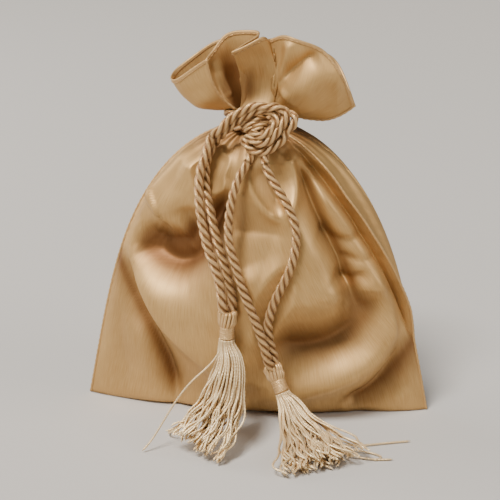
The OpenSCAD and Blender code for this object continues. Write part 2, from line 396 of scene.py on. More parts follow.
class Rope:
    """Three strands laid left-handed round one path, as rings that can be cut between pieces."""

    def __init__(self, path, diameter, end_diameter=None, phase=0.0):
        self.path = curve_through(path, ROPE_STEP)
        along = chord_keys(self.path)
        share = along / along[-1]
        radius = (diameter + ((end_diameter or diameter) - diameter) * share) / 2
        _, u, w = frames_along(self.path)
        turn = TAU * np.arange(ROPE_SIDES) / ROPE_SIDES
        twist = phase - TAU * along / ROPE_LAY
        away = (turn[None] * 3) % TAU
        away = np.minimum(away, TAU - away) / 3
        lobes = STRAND_OFFSET * np.cos(away) + np.sqrt(
            np.maximum(STRAND_SIZE**2 - (STRAND_OFFSET * np.sin(away)) ** 2, 0))
        yarns = 1 + YARN_RELIEF * np.sin(15 * turn[None] + 1.9 * along[:, None])
        r = radius[:, None] * lobes * yarns
        angle = turn[None] + twist[:, None]
        self.rings = (self.path[:, None] + r[..., None]
                      * (np.cos(angle)[..., None] * u[:, None] + np.sin(angle)[..., None] * w[:, None]))
        # The third value is how deep between the strands a point lies, which the yarn material turns
        # into painted shade
        self.values = np.stack([np.broadcast_to(radius[:, None] * turn[None], angle.shape) + 40 * phase,
                                np.broadcast_to(along[:, None], angle.shape),
                                np.broadcast_to(1 - lobes / lobes.max(), angle.shape)], axis=2)

    def nearest(self, point):
        return int(np.linalg.norm(self.path - np.array(point, float), axis=1).argmin())

    def add_to(self, soup, first=0, last=None):
        soup.add_rings(self.rings[first:last], self.values[first:last])

    def length_from(self, first):
        return float(chord_keys(self.path[first:])[-1])


# ---------------------------------------------------------------- knot

KNOT_AT = np.array([7.5, -21.5, 136.2])
KNOT_TILT = math.radians(12)
KNOT_ROPE_D = 3.7
KNOT_RIGHT = np.array([1.0, 0, 0])
KNOT_UP = np.array([0, math.sin(KNOT_TILT), math.cos(KNOT_TILT)])
KNOT_OUT = np.array([0, -math.cos(KNOT_TILT), math.sin(KNOT_TILT)])


# Ropes of the knot in its own plane: right, up and out from its middle
TOP_OUTER = [(3.2, -5.2, -2.5), (6, -1, -0.5), (7.2, 4, 0.6), (5.3, 8.9, 1.6), (2.3, 9.8, 2.2),
             (-1.0, 9.5, 2), (-3.4, 10.0, 1.8), (-7.1, 9.5, 1.6), (-10.7, 7.8, 1.2),
             (-14.4, 5.8, 0.8), (-17.6, 2.9, 0.4), (-20.8, -0.8, 0.2)]
TOP_INNER = [(0.6, -3.2, -2.5), (2.2, 0.6, -1), (3.2, 4, 0), (1.8, 7.1, 0.4), (-1.1, 8.1, 0.8),
             (-5.1, 7.9, 0.6), (-8.4, 6.4, 0.2), (-12.5, 4.2, -0.6), (-16.2, 1.2, -1.6),
             (-19.5, -2.1, -2)]
LOW_INNER = [(-6.6, -4, -3), (-6.8, -8.4, -1.2)]
LOW_OUTER = [(-1.4, -5, -3), (-1.6, -9.6, -0.8)]
KNOT_ROPES = [
    [(8.7, 7.1, -1), (10.9, 5.5, 1), (10.3, 2.2, 1.4), (7.7, -0.3, 1.2), (6.8, -3.1, 1),
     (3.4, -6.4, 1), (-0.6, -9.0, 1.2), (-4.6, -9.5, 1.2), (-8.3, -7.7, 0.8), (-10.5, -4.6, -1)],
    [(5.3, 9.2, 0), (7.5, 7.4, 1.6), (6.7, 3.8, 2.6), (4.6, 0.2, 3), (1.5, -3.6, 3),
     (-2.1, -5.7, 2.8), (-5.8, -5.0, 2.4), (-8.9, -2.5, 0.4)],
    [(2.2, 6.4, 0.6), (3.3, 3.7, 2.6), (1.8, 0.9, 3.4), (-0.9, -2.0, 3.6), (-3.8, -2.5, 3),
     (-6.9, -1.1, 1)],
    [(-11.5, 2.9, -3), (-7.7, 3.9, -1.4), (-3.6, 4.1, -1.4), (-0.9, 2.9, -2.6)],
    [(-11.5, 1.1, -3), (-7.2, 2.0, -1), (-3.5, 1.9, -1), (-1.2, 0.9, -2)],
    [(-9.7, -0.6, -2.4), (-5.5, 0.0, -0.6), (-2.3, 0.1, -1)],
]
# Each cord: its course in the knot, its route, its end in the tassel's head, and its twist's phase
CORDS = {
    "left_cord_outer": (TOP_OUTER, LEFT_OUTER, (-9.2, -36.2, 56.5), 0.0),
    "left_cord_inner": (TOP_INNER, LEFT_INNER, (-7.6, -34.9, 56.5), 0.9),
    "right_cord_inner": (LOW_INNER, RIGHT_INNER, (11, -32.2, 30.5), 1.7),
    "right_cord_outer": (LOW_OUTER, RIGHT_OUTER, (11.6, -30.6, 30.5), 2.6),
}
CUT_OVERLAP = 3  # rings that the knot's rope and the tail's rope share at the cut


def in_knot(points):
    """Points of the knot's plane, in the sack's own frame."""
    return [tuple(KNOT_AT + a * KNOT_RIGHT + b * KNOT_UP + c * KNOT_OUT) for a, b, c in points]


def make_ropes():
    """The ropes from inside the knot out along their routes, cut where each tail starts to swing."""
    knot = Soup()
    tails = []
    for name, (inside, route, end, phase) in CORDS.items():
        rope = Rope(in_knot(inside) + route + [end], KNOT_ROPE_D, CORD_D, phase)
        cut = rope.nearest(route[0])
        rope.add_to(knot, 0, cut + CUT_OVERLAP)
        tail = Soup()
        rope.add_to(tail, cut)
        piece = tail.object(name + "_rope", ROPE, "cord")
        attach(piece, "left_tail" if name.startswith("left") else "right_tail")
        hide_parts(name)
        tails.append((piece, rope, cut, route[0]))
    for i, points in enumerate(KNOT_ROPES):
        Rope(in_knot(points), KNOT_ROPE_D - PRESSED, phase=0.7 * i).add_to(knot)
    piece = knot.object("knot_ropes", ROPE, "cord")
    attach(piece, "sack")
    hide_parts("cord_knot")
    return tails


NECK_LOOP_R = 12.6
# Each neck loop: its height and its twist's phase
NECK_LOOPS = {"lower_neck_loop": (133.9, 0.3), "upper_neck_loop": (138.0, 1.9)}


def make_neck_loops():
    """A full turn of rope each, whose ends meet behind the knot."""
    for name, (z, phase) in NECK_LOOPS.items():
        ring = [(NECK_LOOP_R * math.cos(a), NECK_LOOP_R * math.sin(a), z + 0.4 * math.sin(2 * a))
                for a in np.linspace(math.radians(-100), math.radians(262), 40)]
        soup = Soup()
        Rope(ring, CORD_D - PRESSED, phase=phase).add_to(soup)
        piece = soup.object(name + "_rope", ROPE, "cord")
        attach(piece, "sack")
        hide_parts(name)


tails = make_ropes()
make_neck_loops()

# ---------------------------------------------------------------- tassels

# Places along a tassel are measured down from the middle of its head
HEAD_LOOPS = 15
LOOP_R = 0.72
HEAD_CORE_R = 2.4
HEAD_REACH = 5.0  # from the head's middle to the cloth behind it
BINDING_TURNS = 10
BINDING_FROM = 3.8
BINDING_LONG = 5.3
BINDING_R = 3.0
THREAD_R = 0.36
BINDING_CORE_R = 2.75
STRANDS = 92
STRAND_R = 0.48
GOLDEN_ANGLE = 2.39996


def axes_of(at, to):
    """A tassel's head, the way down from it, and two ways across."""
    at, to = np.array(at, float), np.array(to, float)
    down = (to - at) / np.linalg.norm(to - at)
    u = np.cross(down, [0, 1, 0])
    u /= np.linalg.norm(u)
    return at, down, u, np.cross(down, u)


def tassel_head(side, at, to):
    """Loops of yarn folded over the cord ends and gathered under the binding."""
    at, down, u, w = axes_of(at, to)
    rng = np.random.default_rng(3 if side == "left" else 4)
    soup = Soup()
    for i in range(HEAD_LOOPS):
        a = TAU * i / HEAD_LOOPS + rng.uniform(-0.08, 0.08)
        tall = rng.uniform(-0.35, 0.35)
        profile = [(2.3, 5.6), (2.5, 3.9), (3.0, 2.9), (3.5, 1.4), (3.5, -0.4), (3.7, -1.8 - tall),
                   (3.1, -3.0 - tall), (2.2, -2.4), (1.8, -0.6), (1.7, 2)]
        path = [at + down * h + r * (math.cos(a + 0.05 * h) * u + math.sin(a + 0.05 * h) * w)
                for r, h in profile]
        soup.tube(curve_through(np.array(path), 0.45), LOOP_R, 8)
    core = [at + down * h for h in np.linspace(-0.6, 6.6, 10)]
    soup.tube(np.array(core), HEAD_CORE_R, 20)
    piece = soup.object(side + "_tassel_loops", BINDING, "floss")
    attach(piece, side + "_tassel")
    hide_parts(side + "_tassel_head")
    return piece


def tassel_binding(side, at, to):
    """Thread wound round the neck of the tassel, a little tighter at the middle."""
    at, down, u, w = axes_of(at, to)
    turns = np.linspace(0, BINDING_TURNS * TAU, BINDING_TURNS * 26)
    path = np.array([at + down * (BINDING_FROM + BINDING_LONG * t / turns[-1])
                     + (BINDING_R - 0.15 * math.sin(math.pi * t / turns[-1]))
                     * (math.cos(t) * u + math.sin(t) * w)
                     for t in turns])
    soup = Soup()
    soup.tube(path, THREAD_R, 7)
    core = [at + down * h for h in np.linspace(3.6, 9.4, 8)]
    soup.tube(np.array(core), BINDING_CORE_R, 22)
    piece = soup.object(side + "_tassel_wrap", BINDING, "floss")
    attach(piece, side + "_tassel")
    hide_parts(side + "_tassel_binding")
    return piece


def strand(soup, rng, path, radius=STRAND_R):
    """A crinkled yarn along a path, with a small pinch at each of its chained stitches."""
    path = even(path, 0.55)
    along = chord_keys(path)
    beads = 1 + 0.2 * np.sin(along * TAU / 1.5 + rng.uniform(0, TAU))
    ends = np.clip((along[-1] - along) / 1.2, 0.35, 1)
    soup.tube(path, radius * beads * ends, 6)


def tassel_skirt(side, route, route_sizes, seed, strays):
    """Yarns spread evenly through the skirt's oval section, with a few drawn one by one."""
    rng = np.random.default_rng(seed)
    middle = curve_through(np.array(route, float), 1.2)
    share = np.linspace(0, 1, len(middle))
    keys = chord_keys(route) / chord_keys(route)[-1]
    sizes = np.stack([np.interp(share, keys, [s[k] for s in route_sizes]) for k in (0, 1)], axis=1)
    tangents = np.gradient(middle, axis=0)
    tangents /= np.linalg.norm(tangents, axis=1)[:, None]
    u = np.cross(tangents, [1.0, 0, 0])
    u /= np.linalg.norm(u, axis=1)[:, None]
    w = np.cross(tangents, u)
    soup = Soup()
    for i in range(STRANDS):
        a = i * GOLDEN_ANGLE + rng.uniform(-0.1, 0.1)
        rho = math.sqrt((i + 0.5) / STRANDS)
        drift = rng.normal(0, 0.16, 2) * share[:, None] ** 1.5
        wave = (0.16 * np.sin(share * rng.uniform(5, 10) + rng.uniform(0, TAU))
                + 0.09 * np.sin(share * rng.uniform(12, 24) + rng.uniform(0, TAU))) * share
        across = (rho * math.cos(a) + drift[:, 0] + wave) * sizes[:, 0]
        through = (rho * math.sin(a) + drift[:, 1] + 0.6 * wave) * sizes[:, 1]
        path = middle + across[:, None] * w + through[:, None] * u
        stop = int(len(path) * rng.uniform(0.9, 1.0))
        path = path[:stop]
        path[:, 2] = np.maximum(path[:, 2], STRAND_R + rng.uniform(0.1, 1.6) * 0.8)
        strand(soup, rng, path)
    for points in strays:
        strand(soup, rng, curve_through(np.array(points, float), 0.6), STRAND_R * 0.9)
    piece = soup.object(side + "_tassel_strands", FLOSS, "floss")
    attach(piece, side + "_tassel")
    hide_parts(side + "_tassel_skirt")
    return piece


LEFT_STRAYS = [[(-10.5, -38, 43), (-14, -41, 37.5), (-22, -45, 30), (-30, -49, 20), (-36, -53, 10),
                (-40, -56, 4), (-43, -58, 0.7)],
               [(-11, -40, 34), (-16, -44, 24), (-23, -46, 14), (-30, -45, 6), (-34, -42, 2),
                (-34, -38, 0.8), (-31, -36, 0.7)]]
RIGHT_STRAYS = [[(17, -36, 19), (24, -41, 12), (34, -45, 5), (46, -43, 1.4), (60, -38, 0.7),
                 (72, -34, 0.6)],
                [(18, -37, 18), (26, -43, 11), (37, -49, 4), (48, -52, 1.2), (58, -53, 0.6),
                 (65, -52, 0.6)],
                [(18, -37, 18), (27, -42, 10), (38, -46, 3.4), (50, -47, 1.2), (57, -48, 0.6),
                 (60, -51, 0.6), (57, -54, 0.6)]]

tassels = {
    "left": [tassel_head("left", *LEFT_HEAD), tassel_binding("left", *LEFT_HEAD),
             tassel_skirt("left", LEFT_SKIRT, LEFT_SIZES, 11, LEFT_STRAYS)],
    "right": [tassel_head("right", *RIGHT_HEAD), tassel_binding("right", *RIGHT_HEAD),
              tassel_skirt("right", RIGHT_SKIRT, RIGHT_SIZES, 12, RIGHT_STRAYS)],
}


def declare_tails():
    for piece, rope, cut, start in tails:
        rope.length_from(cut) * MM


declare_tails()

# ---------------------------------------------------------------- cloth: the sack

NECK_Z = 131.5
NECK_R = 10.8
BASE_HALF_W = 78.5
SIDE_TAPER = 0.2
BELLY_HALF_D = 31.5
BASE_ROUND = 3.0
FRILL_Z = 140.0
COLUMNS = 176
FLOOR_ROWS = 6
BODY_ROWS = 136
NECK_ROWS = 8
FRILL_ROWS = 60
HEM_ROWS = 3
HEM_LIFT = 0.14
CLOTH_T = 0.45
FLAT_W = 157


def half_w(z):
    """Half the sack's width at each height: straight sides that round in to the neck."""
    fall = np.maximum(1 - (z / NECK_Z) ** 4.6, 0) ** 0.62
    return NECK_R + (BASE_HALF_W - NECK_R - SIDE_TAPER * z) * fall


def half_d(z):
    """Half its depth: thin at the base, full at the belly, round at the neck."""
    rise = 0.13 + 0.87 * np.sin(math.pi / 2 * np.minimum(1, z / 70))
    fall = np.maximum(1 - (z / NECK_Z) ** 4, 0) ** 0.7
    return NECK_R + (BELLY_HALF_D - NECK_R) * rise * fall


def right_seam_turn(z):
    """How far, in degrees, the right side seam is turned to the front at each height."""
    return np.interp(z, [30, 57, 72, 89, 106, NECK_Z], [0, 11, 18, 26, 32, 33])


# Folds: points (x, z) along each, height (negative for a crease), and the widths on the left
# and on the right of the way it runs
FRONT_FOLDS = [
    # left: the shoulder, the pillow under it with its pocket, and the swag below that
    ([(-18, 127), (-32, 116), (-46, 102), (-55, 88), (-59, 74)], 3.0, 6, 6),
    ([(-17, 119), (-26, 107), (-35, 99), (-43, 94)], 6.8, 11, 12),
    ([(-56, 84), (-50, 77), (-42, 73), (-32, 73), (-24, 79), (-17, 93), (-9, 110)], -13.0, 13, 8),
    ([(-52, 84), (-42, 82), (-30, 84)], -4.0, 9, 8),
    ([(-60, 88), (-57, 76), (-50, 62), (-39, 47), (-26, 34), (-12, 24), (6, 18)], 6.6, 17, 5),
    ([(-72, 86), (-62, 68), (-52, 48), (-44, 34), (-39, 20), (-36, 2)], -8.5, 5, 4),
    ([(-64, 50), (-62, 28), (-60, 6)], -1.6, 5, 6),
    ([(-30, 100), (-27, 88), (-31, 80)], -2.4, 3, 5),
    # middle: gathers under the knot
    ([(-15, 124), (-16, 114), (-19, 104), (-24, 96)], 4.6, 5, 4),
    ([(2, 124), (0, 113), (5, 104), (14, 97)], 3.6, 2.6, 3.4),
    ([(6, 119), (8, 110), (13, 103)], -3.0, 2.4, 3),
    ([(-8, 91), (4, 92), (15, 91)], -1.5, 8, 2.6),
    ([(-4, 76), (2, 58), (-2, 36)], 2.0, 12, 12),
    # right: folds falling from the knot
    ([(14, 125), (19, 116), (19, 107), (14, 98)], 4.6, 3.2, 3.4),
    ([(17, 123), (24, 112), (29, 100), (36, 86), (43, 70), (48, 56)], -7.5, 2.4, 5.5),
    ([(14, 104), (23, 91), (32, 74), (38, 58)], 3.6, 7, 8),
    ([(27, 112), (35, 101), (44, 87), (52, 71), (56, 58)], 3.6, 4.5, 4.5),
    ([(24, 122), (35, 111), (46, 98), (55, 82), (60, 66)], -4.0, 2.4, 4),
    ([(30, 93), (39, 87), (50, 88)], -3.0, 2, 4),
    ([(40, 80), (50, 77), (58, 79)], -2.6, 2, 4),
    ([(36, 74), (44, 69), (50, 72)], -3.6, 2, 4),
    # right: the belly hangs over a pocket with a swag round it
    ([(4, 66), (24, 62), (42, 62)], 5.5, 14, 12),
    ([(8, 40), (24, 37), (40, 41), (51, 52), (54, 64)], -9.0, 14, 10),
    ([(57, 86), (62, 66), (61, 48), (53, 30), (36, 18), (16, 12), (0, 10)], 7.0, 6, 9),
    ([(74, 40), (66, 27), (55, 14), (40, 5)], -8.0, 7, 4),
    ([(72, 11), (64, 6)], 1.4, 4, 4),
]
BACK_FOLDS = [
    ([(-8, 128), (-24, 104), (-40, 76)], 3.2, 5, 6),
    ([(-3, 127), (-11, 104), (-18, 78)], -3.6, 4, 5),
    ([(2, 128), (2, 106), (-4, 82), (-6, 56)], 3.0, 6, 6),
    ([(6, 127), (14, 106), (20, 84)], -3.4, 4, 5),
    ([(10, 128), (25, 106), (37, 82), (45, 56)], 3.2, 6, 7),
    ([(-16, 126), (-36, 104), (-52, 80)], -2.6, 4, 5),
    ([(18, 125), (38, 104), (52, 82)], -2.8, 4, 5),
    ([(-48, 66), (-30, 52), (-12, 46)], -5.6, 9, 7),
    ([(-50, 78), (-30, 70), (-10, 62)], 3.6, 9, 6),
    ([(56, 60), (40, 38), (36, 14)], -3.4, 4, 7),
    ([(-62, 52), (-50, 30), (-48, 8)], -2.8, 4, 6),
    ([(-34, 38), (-8, 26), (20, 26), (40, 34)], 3.4, 8, 8),
    ([(8, 62), (24, 52), (40, 52)], 3.0, 7, 7),
]


# How round the top of a ridge and the bottom of a crease are, and how fast their sides fall
RIDGE = (0.05, 0.78)
CREASE = (0.012, 0.6)


def fold_height(folds, x, z):
    """The summed height of the folds at each point of one side."""
    total = np.zeros_like(x)
    for points, height, left, right in folds:
        line = np.array(points, float)
        keys = chord_keys(np.column_stack([line, np.zeros(len(line))]))
        line = natural_cubic(keys, line, np.linspace(0, keys[-1], 24))
        best = np.full(x.shape, 1e9)
        side, share = np.zeros_like(x), np.zeros_like(x)
        for i in range(len(line) - 1):
            a, d = line[i], line[i + 1] - line[i]
            t = np.clip(((x - a[0]) * d[0] + (z - a[1]) * d[1]) / (d @ d), 0, 1)
            dx, dz = x - a[0] - t * d[0], z - a[1] - t * d[1]
            far = np.hypot(dx, dz)
            near = far < best
            best = np.where(near, far, best)
            side = np.where(near, (dx * d[1] - dz * d[0]) / (far * np.hypot(*d) + 1e-6), side)
            share = np.where(near, (i + t) / (len(line) - 1), share)
        width = (left + right + side * (right - left)) / 2
        ends = ease(np.minimum(share, 1 - share) * 4 + 0.3)
        blunt, power = RIDGE if height > 0 else CREASE
        total += height * ends * np.exp(blunt**power - ((best / width) ** 2 + blunt) ** power)
    return total


CORD_GAP = 0.35
DENT_REACH = 9
DENT_CURVE = 0.05


def rough_noise(points, size, seed):
    return np.array([noise.noise(Vector(p) / size + Vector((seed, 0, 0))) for p in points])


def under_cords(x, y, z):
    """Presses the front cloth in where a cord or a tassel's head lies on it."""
    rests = [(p, CORD_D / 2 + CORD_GAP) for _, rope, cut, _ in tails for p in rope.path[cut::4]]
    rests += [(at, HEAD_REACH) for at, _ in (LEFT_HEAD, RIGHT_HEAD)]
    for p, reach in rests:
        near = (np.abs(z - p[2]) < DENT_REACH) & (np.abs(x - p[0]) < DENT_REACH) & (y < 0)
        d2 = (x[near] - p[0]) ** 2 + (z[near] - p[2]) ** 2
        y[near] = np.maximum(y[near], p[1] + reach - DENT_CURVE * d2)
    return y


SEAM_FADE = 0.14  # share of the half width over which the folds die out at a side seam
FINE_GATHERS = 26
FINE_GATHER_HEIGHT = 0.55
FINE_GATHER_REACH = 15
BROAD_GATHERS = 11
BROAD_GATHER_HEIGHT = 0.9
BROAD_GATHER_REACH = 26
# Ripples: their size, the seed of their noise, and their height
RIPPLES = ((24.0, 3.0, 1.8), (9.0, 9.0, 0.3))
PUCKER_HEIGHT = 0.35
PUCKER_PITCH = 5.2
WELT_FROM = 34
WELT_SHORT = 4
WELT_HEIGHT = 2.4
WELT_FORWARD = 1.6
GAP = 0.05  # from either cloth to the plane between them


def body_outline(angle, z):
    """Points of the smooth sack at each angle and height, and the way out from each."""
    c, s = np.cos(angle), np.sin(angle)
    w, d = half_w(z), half_d(z)
    d = d - 2.2 * np.maximum(0, 1 - z / BASE_ROUND) ** 2
    lens = 1.6 - 0.6 * np.clip((z - 95) / (NECK_Z - 95), 0, 1)
    lens = lens - 0.35 * (c > 0) * c * np.clip((z - 35) / 30, 0, 1)
    x, y = w * c, d * np.sign(s) * np.abs(s) ** lens
    nx, ny = x / w**2, y / d**2
    size = np.hypot(nx, ny) + 1e-9
    return x, y, nx / size, ny / size


def gathers(angle, z, fade):
    """Fine and broad gathers that run down from the tied neck."""
    near_neck = np.exp(-(NECK_Z - z) / FINE_GATHER_REACH)
    fine = FINE_GATHER_HEIGHT * near_neck * np.sin(FINE_GATHERS * angle + 0.8 * np.sin(3 * angle))
    below = np.exp(-(NECK_Z - z) / BROAD_GATHER_REACH)
    broad = BROAD_GATHER_HEIGHT * below * np.sin(BROAD_GATHERS * angle + 1.1) * fade
    return fine, broad


def groove(far, middle, reach):
    """A round groove's depth, from 0 to 1, at each distance from the seam."""
    return np.exp(-((far - middle) / reach) ** 2)


def welt_height(far, front):
    """The right seam's ridge and the groove beside it, at each distance from the seam."""
    if front:
        return WELT_HEIGHT * np.exp(-far / 1.8) - 2.8 * groove(far, 4.2, 2.2)
    return WELT_HEIGHT * np.exp(-far / 1.6) - 0.8 * groove(far, 5, 2.6)


def body_grid(front):
    """Rows of points up one side of the sack, from the middle of its floor to the neck."""
    share = np.linspace(0, 1, BODY_ROWS)
    z = (NECK_Z * (1 - (1 - share) ** 1.5))[:, None]
    turn = np.radians(right_seam_turn(z))
    u = np.linspace(0, 1, COLUMNS + 1)[None, :]
    if front:
        angle = math.pi + (math.pi - turn) * u
    else:
        angle = TAU - turn + (math.pi + turn) * u
    x, y, nx, ny = body_outline(angle, z)
    w = half_w(z)
    full_z = np.broadcast_to(z, x.shape)
    folds = FRONT_FOLDS if front else BACK_FOLDS
    inset = np.minimum(u, 1 - u)
    fade = ease(np.clip((1 - np.abs(x) / w) / SEAM_FADE, 0, 1) * np.clip(inset * 7, 0, 1))
    lift = fold_height(folds, x, full_z) * fade
    for part in gathers(angle, z, fade):
        lift = lift + part
    points = np.stack([x, y, full_z], axis=2).reshape(-1, 3)
    ripple = sum(rough_noise(points, size, seed) * height for size, seed, height in RIPPLES)
    lift = lift + ripple.reshape(x.shape) * fade * np.clip(z / 12, 0.2, 1)
    edge = inset * 2 * w
    pucker = PUCKER_HEIGHT * np.sin(full_z * TAU / PUCKER_PITCH) * np.exp(-edge / 3.5)
    lift = lift + pucker * np.clip(edge / 1.2, 0, 1)
    far = (1 - u if front else u) * 2 * w
    welt = np.clip((full_z - WELT_FROM) / 16, 0, 1)
    welt = welt * np.clip((NECK_Z - WELT_SHORT - full_z) / 10, 0, 1)
    lift = lift + welt * welt_height(far, front)
    x, y = x + nx * lift, y + ny * lift
    ridge = WELT_FORWARD * np.exp(-far / 2.2)
    y = y - welt * (ridge - (2.4 * groove(far, 5, 2.6) if front else 0))
    if front:
        y = under_cords(x, y, full_z.copy())
        y = np.minimum(y, -GAP)
    else:
        # Near the right seam, which is turned to the front, the back cloth may come forward
        y = np.maximum(y, np.where(u < 0.12, -40, GAP))
    wall = np.stack([x, y, full_z], axis=2)
    k = np.linspace(0, 1, FLOOR_ROWS + 1)[:-1, None]
    floor = np.stack([np.broadcast_to(wall[0, :, 0], (FLOOR_ROWS, COLUMNS + 1)),
                      wall[0, :, 1][None] * k,
                      np.zeros((FLOOR_ROWS, COLUMNS + 1))], axis=2)
    grid = np.concatenate([floor, wall])
    grid[..., 2] += 0.3
    return grid


# ---------------------------------------------------------------- cloth: the frill

# Round the mouth: its point (x, y, z), the neck's point (x, y), how far the cloth between
# them sags, and how far it bellies outwards
MOUTH_FRONT = [
    ((-20, -12.5, 163.6), (-7.5, -6), 2, 2.5),
    ((-17, -6.5, 167.6), (-6.5, -5), 0, 0),
    ((-13.5, -2.5, 172), (-5, -4), 0, -0.5),
    ((-5, -2.5, 174.2), (-3.5, -4), 0, -1),
    ((1, -4.5, 174.2), (-2.5, -5), 0, -0.5),
    ((-2.5, -11, 171.5), (-4, -8), 0, -1.4),
    ((-8.5, -18.5, 168.2), (-6, -9.6), 0, -6.5),
    ((-1.5, -16.8, 171.3), (0.5, -11.2), 0, -8.0),
    ((4.6, -13.4, 174), (6.4, -10.4), 0, -6.0),
    ((6.5, -6.5, 171.6), (7.4, -6.6), 0, -1.5),
    ((10.5, -7.6, 173.3), (8.6, -7), 0, 0.5),
    ((19, -10.6, 172.4), (9.8, -6.8), 0, 5),
    ((28.4, -10.2, 168.8), (10.8, -5.6), 1, 5),
    ((37.5, -7.6, 156.2), (11.4, -3.8), 4, 5),
    ((42.5, -1, 142.8), (11.8, -0.8), 5.5, 1),
]
MOUTH_BACK = [
    ((42.5, -1, 142.8), (11.8, -0.8), 5.5, 1),
    ((38, 9, 151), (10.8, 3), 4, 2),
    ((31, 15, 160), (9.2, 6), 1, 3),
    ((21, 12.5, 164.5), (6.5, 7.2), 0, 0),
    ((11, 17.5, 166), (3.4, 9.4), 0, 3),
    ((2, 12.5, 165.6), (0, 7.6), 0, -0.5),
    ((-6, 17.5, 167), (-3.2, 9.4), 0, 3),
    ((-12.5, 12.5, 167.6), (-5.6, 7.4), 0, 0.5),
    ((-18.5, 12, 166.6), (-7.6, 6.6), 0, 2),
    ((-25, 11.5, 163), (-9.2, 5), 1, 3),
    ((-32, 8.5, 158), (-10.6, 3), 3, 3),
    ((-36.8, 3.6, 154.4), (-11.6, 0.6), 5.5, 2),
    ((-37.6, -1.2, 152.6), (-11.4, -1.6), 6, 2),
    ((-35, -6.4, 152.8), (-10.6, -3.2), 5, 2),
    ((-28, -10.4, 157.8), (-9, -5), 3.5, 2.5),
    ((-20, -12.5, 163.6), (-7.5, -6), 2, 2.5),
]

# The mouth's points between which the front frill's pleat lies, and its folds on each side of it
PLEAT = (1, 10)
FRILL_FOLDS = [
    ([(9, 145), (20, 152), (32, 158), (40, 158)], 4.2, 7, 8),
    ([(9, 151), (16, 160), (27, 167)], -4.5, 3, 3.5),
    ([(10, 152), (13, 163), (16, 172)], 2.4, 3, 3),
    ([(8, 144), (12, 149)], -3.0, 2, 2),
    ([(-13, 145), (-16, 154), (-20, 162)], -2.2, 2.5, 4),
    ([(-10, 146), (-12, 152), (-13, 158)], 2.0, 2.5, 2.5),
    ([(-17, 148), (-25, 152), (-33, 154)], 2.0, 4, 4),
]


def frill_grid(keys, start_row):
    """Rows of points from the neck up to the mouth."""
    mouth = np.array([k[0] for k in keys], float)
    foot = np.array([k[1] for k in keys], float)
    shape = np.array([k[2:] for k in keys], float)
    at = chord_keys(mouth)
    dense = np.linspace(0, at[-1], 40 * len(keys))
    spaced = chord_keys(natural_cubic(at, mouth, dense))
    u = np.interp(np.linspace(0, spaced[-1], COLUMNS + 1), spaced, dense)
    mouth = natural_cubic(at, mouth, u)
    foot = natural_cubic(at, foot, u)
    shape = np.stack([np.interp(u, at, shape[:, k]) for k in (0, 1)], axis=1)
    foot = np.column_stack([foot, np.full(len(foot), FRILL_Z)])
    out = mouth - foot
    out[:, 2] = 0
    out /= np.linalg.norm(out, axis=1)[:, None] + 1e-9
    v = np.linspace(0, 1, FRILL_ROWS + 1)[:, None, None]
    hump = 4 * v * (1 - v)
    grid = (foot + (mouth - foot) * v + out * shape[:, 1][:, None] * hump
            - UP * shape[:, 0][:, None] * hump)
    ripple = rough_noise(grid.reshape(-1, 3), 9.0, 5.0).reshape(grid.shape[:2])
    swell = 0.9 * ripple * hump[..., 0]
    if keys is MOUTH_FRONT:
        first, last = at[PLEAT[0]], at[PLEAT[1]]
        beside = (u < first) | (u > last)
        fade = np.clip(np.minimum(u, at[-1] - u) / 4, 0, 1) * np.clip(np.abs(u - first) / 3, 0, 1)
        fade = beside * fade * np.clip(np.abs(u - last) / 3, 0, 1) * np.clip(v[..., 0] * 5, 0, 1)
        swell = swell + fade * fold_height(FRILL_FOLDS, grid[..., 0], grid[..., 2])
    normal = np.cross(np.gradient(grid, axis=1), np.gradient(grid, axis=0))
    normal /= np.linalg.norm(normal, axis=2)[..., None] + 1e-9
    grid = grid + normal * swell[..., None]
    rise = np.linspace(0, 1, NECK_ROWS + 1)[1:-1, None, None]
    neck = start_row + (grid[0] - start_row) * ease(rise)
    pinch = 1 - 0.16 * np.sin(math.pi * rise)
    neck[..., :2] *= pinch
    return np.concatenate([neck, grid])


def sheet_grid(front):
    body = body_grid(front)
    frill = frill_grid(MOUTH_FRONT if front else MOUTH_BACK, body[-1])
    return np.concatenate([body, frill])


def grid_faces(rows, cols):
    i, j = np.meshgrid(np.arange(rows - 1), np.arange(cols - 1), indexing="ij")
    a = (i * cols + j).ravel()
    return np.column_stack([a, a + 1, a + cols + 1, a + cols]).tolist()


def cloth_coordinates(grid, front):
    """Each point's place on the flat cloth, across and along it."""
    rows, cols = grid.shape[:2]
    down = np.concatenate([[0], np.cumsum(np.linalg.norm(np.diff(grid, axis=0), axis=2).mean(1))])
    across = np.linspace(0, FLAT_W, cols) + (0 if front else 300)
    return np.stack([np.broadcast_to(across, (rows, cols)),
                     np.broadcast_to(down[:, None], (rows, cols)), np.zeros((rows, cols))], axis=2)


def bend_at_neck(piece):
    """Bakes the piece's transform into its mesh."""
    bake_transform(piece)


# Painted shade: a fold this deep gets all of it
FULL_SHADE_DEPTH = 9  # the depth of a fold that is darkened in full


def painted_cloth_shade(grid, front):
    """How much painted shade each point of the cloth gets, from 0 to 1: more the deeper it lies in a
    fold, and also under the tie and in the front frill.
    """
    x, z = grid[..., 0], grid[..., 2]
    body = -fold_height(FRONT_FOLDS if front else BACK_FOLDS, x, z) / FULL_SHADE_DEPTH
    body = np.clip(body, 0, 1)
    # Painted shade on the gathers under the tie and knot
    body = np.maximum(body, 0.8 * np.clip((z - 120) / 9, 0, 1))
    # Painted shade in the dip of the front frill beside its pleat, where the cloth lies further back
    inside = np.clip((grid[..., 1] + 10) / 4, 0, 1) * np.clip((171 - z) / 12, 0, 1)
    inside = inside * np.clip((x + 19) / 6, 0, 1) * np.clip((1 - x) / 3, 0, 1) * float(front)
    first = FLOOR_ROWS + BODY_ROWS + NECK_ROWS - 1
    body[first:] = inside[first:]
    return body


